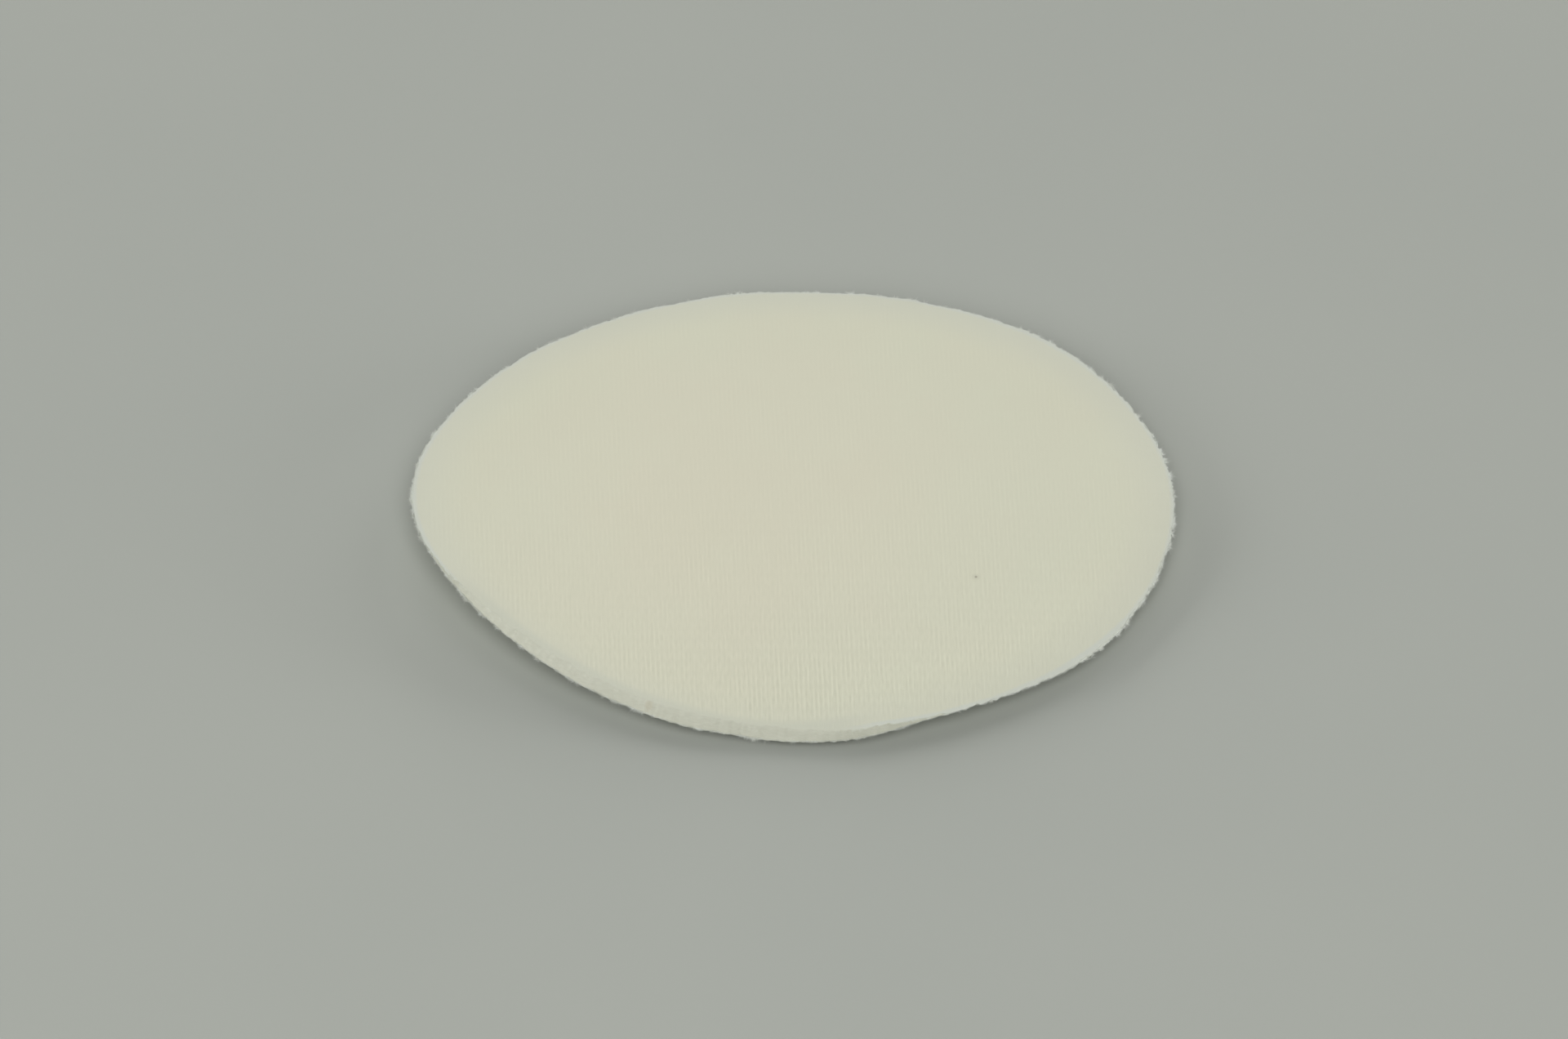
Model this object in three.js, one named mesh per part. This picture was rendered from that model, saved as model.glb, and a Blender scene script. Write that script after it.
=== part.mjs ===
// Oval cotton eye pad: two knitted covers with soft wadding between them.
// Millimetres, +Z up. X runs along the pad, Y across it, and the pad lies on the flat middle of its
// underside, with the origin at the centre of that flat.
import * as THREE from 'three';

// Plan outline
const PAD_LENGTH = 70;
const PAD_WIDTH = 56;
const BLUNT_END_TAPER = 0.4; // how far the +X half draws in from an ellipse
const NARROW_END_TAPER = 4.2; // how far the -X half draws in, towards the corner of an eye

// Flat of the underside that touches the table
const REST_LENGTH = 28;
const REST_WIDTH = 22;

// Thickness, covers included. The cut pinches the pad, so it swells from a thin edge.
const CENTRE_THICKNESS = 4.4;
const EDGE_THICKNESS = 0.9;
const CROWN_POWER = 2.4; // how late the low crown falls away towards the edge

// Layers
const COVER_THICKNESS = 0.3;
const LAYER_GAP = 0.1; // clearance between a cover and the wadding
const WADDING_INSET = 0.3; // the cut wadding stands back from the edge of the covers

// Rise of the rim off the table at even steps round the outline, anticlockwise from the +X end.
// The -X end curls up most, and the middle of the front edge sags nearest to the table.
const RIM_RISE = [
  2.9, 2.8, 3.4, 3.0, 2.6, 3.0, 3.9, 4.1,
  4.4, 4.5, 3.4, 2.0, 0.95, 2.1, 1.8, 2.0,
];

// Mesh fineness
const ROUND_STEPS = 80;
const RINGS = [2, 8, 1]; // on the flat, up the slope, on the covers' lip
const WADDING_EDGE = 2; // station of the wadding's cut edge
const COVER_EDGE = 3; // station of the covers' cut edge
const UNDER_FACE = 0; // level of a layer's lower face in its lathe profile
const TOP_FACE = 1; // level of its upper face

const knitCotton = new THREE.MeshStandardMaterial({ color: 0xcdccb8, roughness: 0.95, metalness: 0 });
const looseCotton = new THREE.MeshStandardMaterial({ color: 0xc4c6b6, roughness: 1, metalness: 0 });

// The rim's rise as one smooth closed curve
const riseCurve = new THREE.CatmullRomCurve3(
  RIM_RISE.map((rise) => new THREE.Vector3(0, 0, rise)),
  true,
  'catmullrom',
);

// Point of the plan outline in the direction of an angle
function outline(angle) {
  const along = Math.cos(angle);
  const taper = along > 0 ? BLUNT_END_TAPER : NARROW_END_TAPER;
  const halfWidth = PAD_WIDTH / 2 - taper * along ** 2;
  return new THREE.Vector2(PAD_LENGTH / 2 * along, halfWidth * Math.sin(angle));
}

// Point of the flat's outline in the same direction
function restOutline(angle) {
  return new THREE.Vector2(REST_LENGTH / 2 * Math.cos(angle), REST_WIDTH / 2 * Math.sin(angle));
}

// A point of the outline moved towards the centre
function insetOutline(angle, inset) {
  const rim = outline(angle);
  return rim.setLength(rim.length() - inset);
}

// Plan point at a station: 0 the centre, 1 the edge of the flat, 2 the wadding's cut edge,
// 3 the covers' cut edge
function planPoint(station, angle) {
  const marks = [
    new THREE.Vector2(0, 0),
    restOutline(angle),
    insetOutline(angle, WADDING_INSET),
    outline(angle),
  ];
  const zone = Math.min(Math.floor(station), marks.length - 2);
  return marks[zone].lerp(marks[zone + 1], station - zone);
}

// Height of the underside over a plan point: zero on the flat, then rising to the rim
function undersideHeight(point, angle) {
  const rim = outline(angle).length();
  const flat = restOutline(angle).length();
  const climb = Math.max(0, (point.length() - flat) / (rim - flat));
  const turnShare = THREE.MathUtils.euclideanModulo(angle / (2 * Math.PI), 1);
  return riseCurve.getPoint(turnShare).z * climb ** 2;
}

// Thickness of the whole pad over a plan point: a low crown that falls to the thin edge
function padThickness(point, angle) {
  const reach = Math.min(1, point.length() / outline(angle).length());
  const crown = 1 - reach ** CROWN_POWER;
  return EDGE_THICKNESS + (CENTRE_THICKNESS - EDGE_THICKNESS) * crown;
}

// Stations of the rings from the centre to a layer's cut edge
function ringStations(cutEdge) {
  const stations = [0];
  RINGS.slice(0, cutEdge).forEach((count, zone) => {
    for (let ring = 1; ring <= count; ring += 1) {
      stations.push(zone + ring / count);
    }
  });
  return stations;
}

// One layer: a lathe turned in station units, then carried to the pad's form.
// lower and upper give a face's height from the underside's height and the pad's thickness.
function layerGeometry(cutEdge, lower, upper) {
  const stations = ringStations(cutEdge);
  const underFace = stations.map((station) => new THREE.Vector2(station, UNDER_FACE));
  const topFace = stations.toReversed().map((station) => new THREE.Vector2(station, TOP_FACE));
  const geometry = new THREE.LatheGeometry([...underFace, ...topFace], ROUND_STEPS);
  geometry.rotateX(Math.PI / 2);
  const places = geometry.attributes.position;
  for (let index = 0; index < places.count; index += 1) {
    const station = Math.hypot(places.getX(index), places.getY(index));
    const angle = Math.atan2(places.getY(index), places.getX(index));
    const point = planPoint(station, angle);
    const face = Math.round(places.getZ(index)) === TOP_FACE ? upper : lower;
    const height = face(undersideHeight(point, angle), padThickness(point, angle));
    places.setXYZ(index, point.x, point.y, height);
  }
  geometry.computeVertexNormals();
  return geometry;
}

function layer(name, geometry, material) {
  const mesh = new THREE.Mesh(geometry, material);
  mesh.name = name;
  return mesh;
}

function backCover() {
  const geometry = layerGeometry(COVER_EDGE, (under) => under, (under) => under + COVER_THICKNESS);
  return layer('back_cover', geometry, knitCotton);
}

function cottonWadding() {
  const clear = COVER_THICKNESS + LAYER_GAP;
  const geometry = layerGeometry(
    WADDING_EDGE,
    (under) => under + clear,
    (under, thickness) => under + thickness - clear,
  );
  return layer('cotton_wadding', geometry, looseCotton);
}

function frontCover() {
  const geometry = layerGeometry(
    COVER_EDGE,
    (under, thickness) => under + thickness - COVER_THICKNESS,
    (under, thickness) => under + thickness,
  );
  return layer('front_cover', geometry, knitCotton);
}

const eyePad = new THREE.Group();
eyePad.add(backCover(), cottonWadding(), frontCover());

export default eyePad;
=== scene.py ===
"""Dresses the cotton eye pad: two fine knitted covers with soft wadding between them.

The pad keeps the rest form of its solids. The covers get knitted ribs and ragged cut edges, the wadding
gets a fibrous cut side, and loose cotton ends stand out of every cut. Lengths are in metres.
"""

import logging
import math
from collections.abc import Mapping, Sequence
from dataclasses import dataclass
from enum import Enum
from typing import Any

import bpy
import numpy as np
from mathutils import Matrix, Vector


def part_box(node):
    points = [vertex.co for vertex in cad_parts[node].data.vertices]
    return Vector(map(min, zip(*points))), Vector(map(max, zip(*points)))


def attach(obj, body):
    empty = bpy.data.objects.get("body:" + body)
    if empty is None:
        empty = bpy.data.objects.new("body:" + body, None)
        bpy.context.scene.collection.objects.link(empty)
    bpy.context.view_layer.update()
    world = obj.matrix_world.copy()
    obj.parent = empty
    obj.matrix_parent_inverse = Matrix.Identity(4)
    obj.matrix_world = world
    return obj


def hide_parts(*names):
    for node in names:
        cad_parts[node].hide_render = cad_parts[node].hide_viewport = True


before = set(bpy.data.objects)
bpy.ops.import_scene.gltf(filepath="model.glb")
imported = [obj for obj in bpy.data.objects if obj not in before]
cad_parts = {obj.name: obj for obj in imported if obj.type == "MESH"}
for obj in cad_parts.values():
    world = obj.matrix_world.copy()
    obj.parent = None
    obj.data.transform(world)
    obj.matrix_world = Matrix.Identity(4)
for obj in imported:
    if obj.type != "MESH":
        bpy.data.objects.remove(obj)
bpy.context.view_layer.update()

LOG = logging.getLogger("eye_pad")
BODY = "root"
MM = 0.001
TAU = 2 * math.pi

Colour = tuple[float, float, float, float]
Points = np.ndarray


def in_mm(*lengths: float) -> tuple[float, ...]:
    """Millimetres as metres."""
    return tuple(length * MM for length in lengths)


def whole_turn(steps: int) -> np.ndarray:
    """Even places round the outline, in radians."""
    return np.linspace(0, TAU, steps, endpoint=False)


def drawn_in(
    x: np.ndarray, y: np.ndarray, distance: np.ndarray | float
) -> tuple[np.ndarray, np.ndarray]:
    """Plan points moved towards the pad's centre by a distance."""
    keep = 1 - distance / np.hypot(x, y)
    return x * keep, y * keep


def smooth_step(share: np.ndarray) -> np.ndarray:
    """A share from 0 to 1, eased at both ends."""
    return share * share * (3 - 2 * share)


def lattice_noise(
    seed: int, across: np.ndarray, along: np.ndarray, cells: tuple[int, int]
) -> np.ndarray:
    """Smooth random unevenness on a lattice that repeats both ways, the same on every run.

    Args:
        seed: picks the random values.
        across: places across the lattice, whose full width is 1.
        along: places along the lattice, whose full length is 1.
        cells: how many cells the lattice has across and along.

    Returns:
        Values from -1 to 1.
    """
    knots = np.random.default_rng(seed).uniform(-1, 1, cells)
    columns = np.mod(across, 1) * cells[0]
    rows = np.mod(along, 1) * cells[1]
    column = np.floor(columns).astype(int) % cells[0]
    row = np.floor(rows).astype(int) % cells[1]
    next_column = (column + 1) % cells[0]
    next_row = (row + 1) % cells[1]
    share_across = smooth_step(columns - np.floor(columns))
    share_along = smooth_step(rows - np.floor(rows))
    near = knots[column, row] * (1 - share_across) + knots[next_column, row] * share_across
    far = knots[column, next_row] * (1 - share_across) + knots[next_column, next_row] * share_across
    return near * (1 - share_along) + far * share_along


def round_noise(seed: int, angle: np.ndarray, cells: int) -> np.ndarray:
    """Smooth random unevenness round the outline, from -1 to 1."""
    return lattice_noise(seed, angle / TAU, np.zeros_like(angle), (cells, 1))


def grid_quads(ids: np.ndarray) -> np.ndarray:
    """Quads between neighbouring columns and rows of vertex numbers."""
    corners = [ids[:-1, :-1], ids[1:, :-1], ids[1:, 1:], ids[:-1, 1:]]
    return np.stack(corners, axis=-1).reshape(-1, 4)


def cotton_piece(name: str, points: Points, faces: Sequence[Sequence[int]]) -> bpy.types.Object:
    """Makes a smooth-shaded piece of the pad.

    Args:
        name: the piece's name.
        points: its vertices, one row each.
        faces: vertex numbers of each face.

    Returns:
        The piece, which rides on the pad's only body.
    """
    mesh = bpy.data.meshes.new(name)
    mesh.from_pydata(points.tolist(), [], faces)
    mesh.shade_smooth()
    piece = bpy.data.objects.new(name, mesh)
    bpy.context.scene.collection.objects.link(piece)
    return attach(piece, BODY)


class Side(Enum):
    """The face of the pad that a cover lies on."""

    FRONT = "front"
    BACK = "back"

    @property
    def up(self) -> int:
        """Direction of the cover's outer face along +Z."""
        return 1 if self is Side.FRONT else -1


@dataclass(frozen=True)
class RoundCurve:
    """A smooth closed curve through values at even steps round the outline, anticlockwise from +X."""

    values: tuple[float, ...]

    @classmethod
    def of_mm(cls, *lengths: float) -> "RoundCurve":
        """The curve through lengths in millimetres."""
        return cls(in_mm(*lengths))

    def at(self, angle: np.ndarray) -> np.ndarray:
        """Values of the curve.

        Args:
            angle: places round the outline, in radians.

        Returns:
            The curve's value at each place.
        """
        knots = np.array(self.values)
        place = np.mod(angle / TAU, 1) * len(knots)
        step = np.floor(place).astype(int)
        share = place - step
        near = (np.take(knots, step + shift, mode="wrap") for shift in (-1, 0, 1, 2))
        before, first, second, after = near
        start_slope = (second - before) / 2
        end_slope = (after - first) / 2
        bend = 2 * (first - second) + start_slope + end_slope
        sag = 3 * (second - first) - 2 * start_slope - end_slope
        return first + share * (start_slope + share * (sag + share * bend))


@dataclass(frozen=True)
class Bulge:
    """A shallow bulge of the outline, or a dent if its height is negative, in degrees and metres."""

    angle: float
    reach: float
    height: float

    def at(self, angle: np.ndarray) -> np.ndarray:
        """How far the outline is moved out at each angle."""
        apart = np.mod(np.degrees(angle) - self.angle + 180, 360) - 180
        return self.height * np.exp(-((apart / self.reach) ** 2))


@dataclass(frozen=True)
class PadForm:
    """The pad's rest form, as its solids have it, with the small bulges of its cut."""

    length: float
    width: float
    blunt_end_taper: float = 0.4 * MM
    narrow_end_taper: float = 4.2 * MM
    rest_length: float = 28 * MM
    rest_width: float = 22 * MM
    centre_thickness: float = 4.4 * MM
    edge_thickness: float = 0.9 * MM
    crown_power: float = 2.4
    angle_rounds: int = 5
    bulges: tuple[Bulge, ...] = (
        Bulge(0, 22, -0.08 * MM),
        Bulge(45, 14, 0.13 * MM),
        Bulge(180, 25, 0.06 * MM),
        Bulge(196, 14, 0.16 * MM),
        Bulge(238, 25, 0.36 * MM),
        Bulge(262, 6, -0.26 * MM),
        Bulge(276, 18, 0.14 * MM),
        Bulge(281, 6, 0.38 * MM),
        Bulge(300, 32, 0.11 * MM),
        Bulge(320, 9, 0.30 * MM),
    )
    rim_rise: RoundCurve = RoundCurve.of_mm(
        2.9, 2.8, 3.4, 3.0, 2.6, 3.0, 3.9, 4.1, 4.4, 4.5, 3.4, 2.0, 0.95, 2.1, 1.8, 2.0
    )

    @classmethod
    def from_frame(cls, node: str) -> "PadForm":
        """The form whose plan size is that of a solid.

        Args:
            node: name of the solid.

        Returns:
            The pad's form.
        """
        low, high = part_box(node)
        return cls(length=high.x - low.x, width=high.y - low.y)

    def half_width(self, angle: np.ndarray) -> np.ndarray:
        """Half the width that the outline's arc has at an angle.

        Args:
            angle: places round the outline.

        Returns:
            The half width at each place.
        """
        along = np.cos(angle)
        taper = np.where(along > 0, self.blunt_end_taper, self.narrow_end_taper)
        return self.width / 2 - taper * along**2

    def outline(self, angle: np.ndarray) -> tuple[np.ndarray, np.ndarray]:
        """Plan points of the outline.

        Args:
            angle: places round the outline.

        Returns:
            Their places along and across the pad.
        """
        x, y = self.length / 2 * np.cos(angle), self.half_width(angle) * np.sin(angle)
        grow = 1 + sum(bulge.at(angle) for bulge in self.bulges) / np.hypot(x, y)
        return x * grow, y * grow

    def angle_at(self, x: np.ndarray, y: np.ndarray) -> np.ndarray:
        """Angle of the outline point that lies in the direction of each plan point.

        Args:
            x: places along the pad.
            y: places across the pad.

        Returns:
            Angles in radians.
        """
        angle = np.arctan2(y, x)
        for _ in range(self.angle_rounds):
            angle = np.arctan2(y / self.half_width(angle), x / (self.length / 2))
        return angle

    def outward(self, angle: np.ndarray) -> Points:
        """Level directions out of the outline.

        Args:
            angle: places round the outline.

        Returns:
            One unit vector for each place.
        """
        step = 1e-3
        x, y = self.outline(angle + step)
        x_before, y_before = self.outline(angle - step)
        out = np.stack([y - y_before, x_before - x, 0 * x], axis=-1)
        return out / np.linalg.norm(out, axis=-1, keepdims=True)

    def depth_at(self, x: np.ndarray, y: np.ndarray) -> np.ndarray:
        """Distance of plan points from the outline, towards the centre."""
        return np.hypot(*self.outline(self.angle_at(x, y))) - np.hypot(x, y)

    def faces_at(self, x: np.ndarray, y: np.ndarray) -> tuple[np.ndarray, np.ndarray]:
        """Heights of the pad's underside and top.

        Args:
            x: places along the pad.
            y: places across the pad.

        Returns:
            The underside's and the top's height at each place.
        """
        angle = self.angle_at(x, y)
        rim = np.hypot(*self.outline(angle))
        flat = np.hypot(self.rest_length / 2 * np.cos(angle), self.rest_width / 2 * np.sin(angle))
        reach = np.hypot(x, y)
        climb = np.maximum(0, (reach - flat) / (rim - flat))
        under = self.rim_rise.at(angle) * climb**2
        crown = 1 - np.minimum(1, reach / rim) ** self.crown_power
        thickness = self.edge_thickness + (self.centre_thickness - self.edge_thickness) * crown
        return under, under + thickness


@dataclass(frozen=True)
class CutEdge:
    """A layer's cut edge: how far it stands back from the outline, and how ragged it is."""

    stand_back: RoundCurve
    ragged: RoundCurve
    seed: int
    tears: int = 760
    flaps: int = 90
    tear_share: float = 0.7
    flap_steepness: float = 4.0

    def inset(self, angle: np.ndarray) -> np.ndarray:
        """Distance from the outline to the edge.

        Args:
            angle: places round the outline.

        Returns:
            The distance at each place.
        """
        small = round_noise(self.seed, angle, self.tears)
        flaps = round_noise(self.seed + 1, angle, self.flaps)
        stepped = np.tanh(self.flap_steepness * flaps)
        torn = self.tear_share * small + (1 - self.tear_share) * stepped
        return self.stand_back.at(angle) + self.ragged.at(angle) * torn

    def line(self, form: PadForm, angle: np.ndarray) -> tuple[np.ndarray, np.ndarray]:
        """Plan points of the edge at places round the outline."""
        return drawn_in(*form.outline(angle), self.inset(angle))


@dataclass(frozen=True)
class KnitStitch:
    """The knit's stitch: ribs of loops whose legs run across the pad."""

    rib_pitch: float = 0.433 * MM
    rib_height: float = 0.022 * MM
    wale_lean: float = 0.04
    course_height: float = 1.3 * MM
    least_crisp: float = 0.2
    crisp_gain: float = 1.35
    crisp_from: float = 22 * MM
    crisp_reach: float = 48 * MM
    crisp_power: int = 3

    def crispness(self, y: "np.ndarray | Flow") -> "np.ndarray | Flow":
        """How clearly the ribs stand out.

        Args:
            y: places across the pad.

        Returns:
            A share that is largest at the front edge and falls off towards the back.
        """
        drawn = (self.crisp_from - y) / self.crisp_reach
        return self.least_crisp + self.crisp_gain * drawn**self.crisp_power


class Flow:
    """A shader socket that takes part in Python arithmetic."""

    def __init__(self, board: "NodeBoard", socket: bpy.types.NodeSocket) -> None:
        """Wraps an output socket of a board."""
        self.board = board
        self.socket = socket

    def __add__(self, other: "Flow | float") -> "Flow":
        """This plus other."""
        return self.board.math("ADD", self, other)

    def __radd__(self, other: float) -> "Flow":
        """Other plus this."""
        return self.board.math("ADD", other, self)

    def __sub__(self, other: "Flow | float") -> "Flow":
        """This less other."""
        return self.board.math("SUBTRACT", self, other)

    def __rsub__(self, other: float) -> "Flow":
        """Other less this."""
        return self.board.math("SUBTRACT", other, self)

    def __mul__(self, other: "Flow | float") -> "Flow":
        """This times other."""
        return self.board.math("MULTIPLY", self, other)

    def __rmul__(self, other: float) -> "Flow":
        """Other times this."""
        return self.board.math("MULTIPLY", other, self)

    def __truediv__(self, other: "Flow | float") -> "Flow":
        """This over other."""
        return self.board.math("DIVIDE", self, other)

    def __rtruediv__(self, other: float) -> "Flow":
        """Other over this."""
        return self.board.math("DIVIDE", other, self)

    def __pow__(self, other: "Flow | float") -> "Flow":
        """This to the power of other."""
        return self.board.math("POWER", self, other)

    def __rpow__(self, other: float) -> "Flow":
        """Other to the power of this."""
        return self.board.math("POWER", other, self)

    def __abs__(self) -> "Flow":
        """This without its sign."""
        return self.board.math("ABSOLUTE", self)

    def cos(self) -> "Flow":
        """Cosine of this."""
        return self.board.math("COSINE", self)

    def floor(self) -> "Flow":
        """Whole part of this."""
        return self.board.math("FLOOR", self)

    def ping_pong(self, scale: float) -> "Flow":
        """This folded back and forth between 0 and scale."""
        return self.board.math("PINGPONG", self, scale)

    def eased(self, low: float, high: float) -> "Flow":
        """Share of the way from low to high, eased at both ends.

        Args:
            low: value that gives 0.
            high: value that gives 1.

        Returns:
            The share.
        """
        settings = {"interpolation_type": "SMOOTHSTEP"}
        sockets = {"Value": self, "From Min": low, "From Max": high}
        node = self.board.add("ShaderNodeMapRange", settings, sockets)
        return Flow(self.board, node.outputs["Result"])


class NodeBoard:
    """A material's nodes, with short ways to add to them."""

    def __init__(self, name: str) -> None:
        """Starts an empty material.

        Args:
            name: the material's name.
        """
        self.material = bpy.data.materials.new(name)
        self.material.use_nodes = True
        self.tree = self.material.node_tree
        self.tree.nodes.clear()

    def add(
        self,
        kind: str,
        settings: Mapping[str, Any] | None = None,
        sockets: Mapping[str | int, Any] | None = None,
    ) -> bpy.types.Node:
        """Adds a node.

        Args:
            kind: the node's type.
            settings: its properties, set first.
            sockets: values or links of its inputs.

        Returns:
            The node.
        """
        node = self.tree.nodes.new(kind)
        for name, value in (settings or {}).items():
            setattr(node, name, value)
        for key, value in (sockets or {}).items():
            if isinstance(value, Flow):
                self.tree.links.new(value.socket, node.inputs[key])
            else:
                node.inputs[key].default_value = value
        return node

    def math(self, operation: str, *values: Flow | float) -> Flow:
        """Adds a Math node and gives its result."""
        node = self.add("ShaderNodeMath", {"operation": operation}, dict(enumerate(values)))
        return Flow(self, node.outputs[0])

    def place(self) -> Flow:
        """The point's place on the pad, as a vector."""
        return Flow(self, self.add("ShaderNodeTexCoord").outputs["Object"])

    def along(self, place: Flow) -> tuple[Flow, Flow, Flow]:
        """A vector's three numbers."""
        node = self.add("ShaderNodeSeparateXYZ", sockets={0: place})
        return tuple(Flow(self, output) for output in node.outputs)

    def point(self, x: Flow, y: Flow) -> Flow:
        """A vector of two numbers."""
        return Flow(self, self.add("ShaderNodeCombineXYZ", sockets={0: x, 1: y}).outputs[0])

    def plan(self, place: Flow) -> Flow:
        """A place without its height."""
        node = self.add("ShaderNodeVectorMath", {"operation": "MULTIPLY"}, {0: place, 1: (1, 1, 0)})
        return Flow(self, node.outputs[0])

    def noise(self, place: Flow, grain: tuple[float, float, float], detail: float = 2.0) -> Flow:
        """Soft random values from 0 to 1.

        Args:
            place: the point's place.
            grain: size of the grain along each axis.
            detail: how many finer layers are added.

        Returns:
            The values.
        """
        per_metre = tuple(1 / size for size in grain)
        scaled = self.add("ShaderNodeVectorMath", {"operation": "MULTIPLY"}, {0: place, 1: per_metre})
        sockets = {"Vector": Flow(self, scaled.outputs[0]), "Scale": 1.0, "Detail": detail}
        return Flow(self, self.add("ShaderNodeTexNoise", sockets=sockets).outputs[0])

    def near(
        self, place: Flow, centre: tuple[float, ...], radius: float, core: float = 0.4
    ) -> Flow:
        """A spot: 1 in its core, fading to 0 at its radius.

        Args:
            place: the point's place.
            centre: the spot's middle.
            radius: its size.
            core: the core's share of that size.

        Returns:
            The spot's strength.
        """
        apart = self.add("ShaderNodeVectorMath", {"operation": "DISTANCE"}, {0: place, 1: centre})
        return 1 - Flow(self, apart.outputs["Value"]).eased(core * radius, radius)

    def mix(
        self, share: Flow | float, first: Flow | Colour, second: Flow | Colour, blend: str = "MIX"
    ) -> Flow:
        """One colour turning into another, or tinted by it.

        Args:
            share: 0 for the first colour, 1 for the second.
            first: a colour.
            second: another colour.
            blend: how the second acts on the first.

        Returns:
            The colour between.
        """
        settings = {"data_type": "RGBA", "clamp_factor": True, "blend_type": blend}
        node = self.add("ShaderNodeMix", settings, {0: share, 6: first, 7: second})
        return Flow(self, node.outputs[2])

    def bump(self, height: Flow, depth: float, strength: float) -> Flow:
        """Fine relief as a normal.

        Args:
            height: the relief, from 0 to 1.
            depth: what a height of 1 stands for.
            strength: how much of it shows.

        Returns:
            The normal.
        """
        sockets = {"Strength": strength, "Distance": depth, "Height": height}
        return Flow(self, self.add("ShaderNodeBump", sockets=sockets).outputs[0])

    def shade(self, sockets: Mapping[str, Any]) -> bpy.types.Material:
        """Ends the material in one shader.

        Args:
            sockets: the shader's values and links.

        Returns:
            The material.
        """
        shader = self.add("ShaderNodeBsdfPrincipled", sockets=sockets)
        self.add("ShaderNodeOutputMaterial", sockets={"Surface": Flow(self, shader.outputs[0])})
        return self.material


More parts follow.
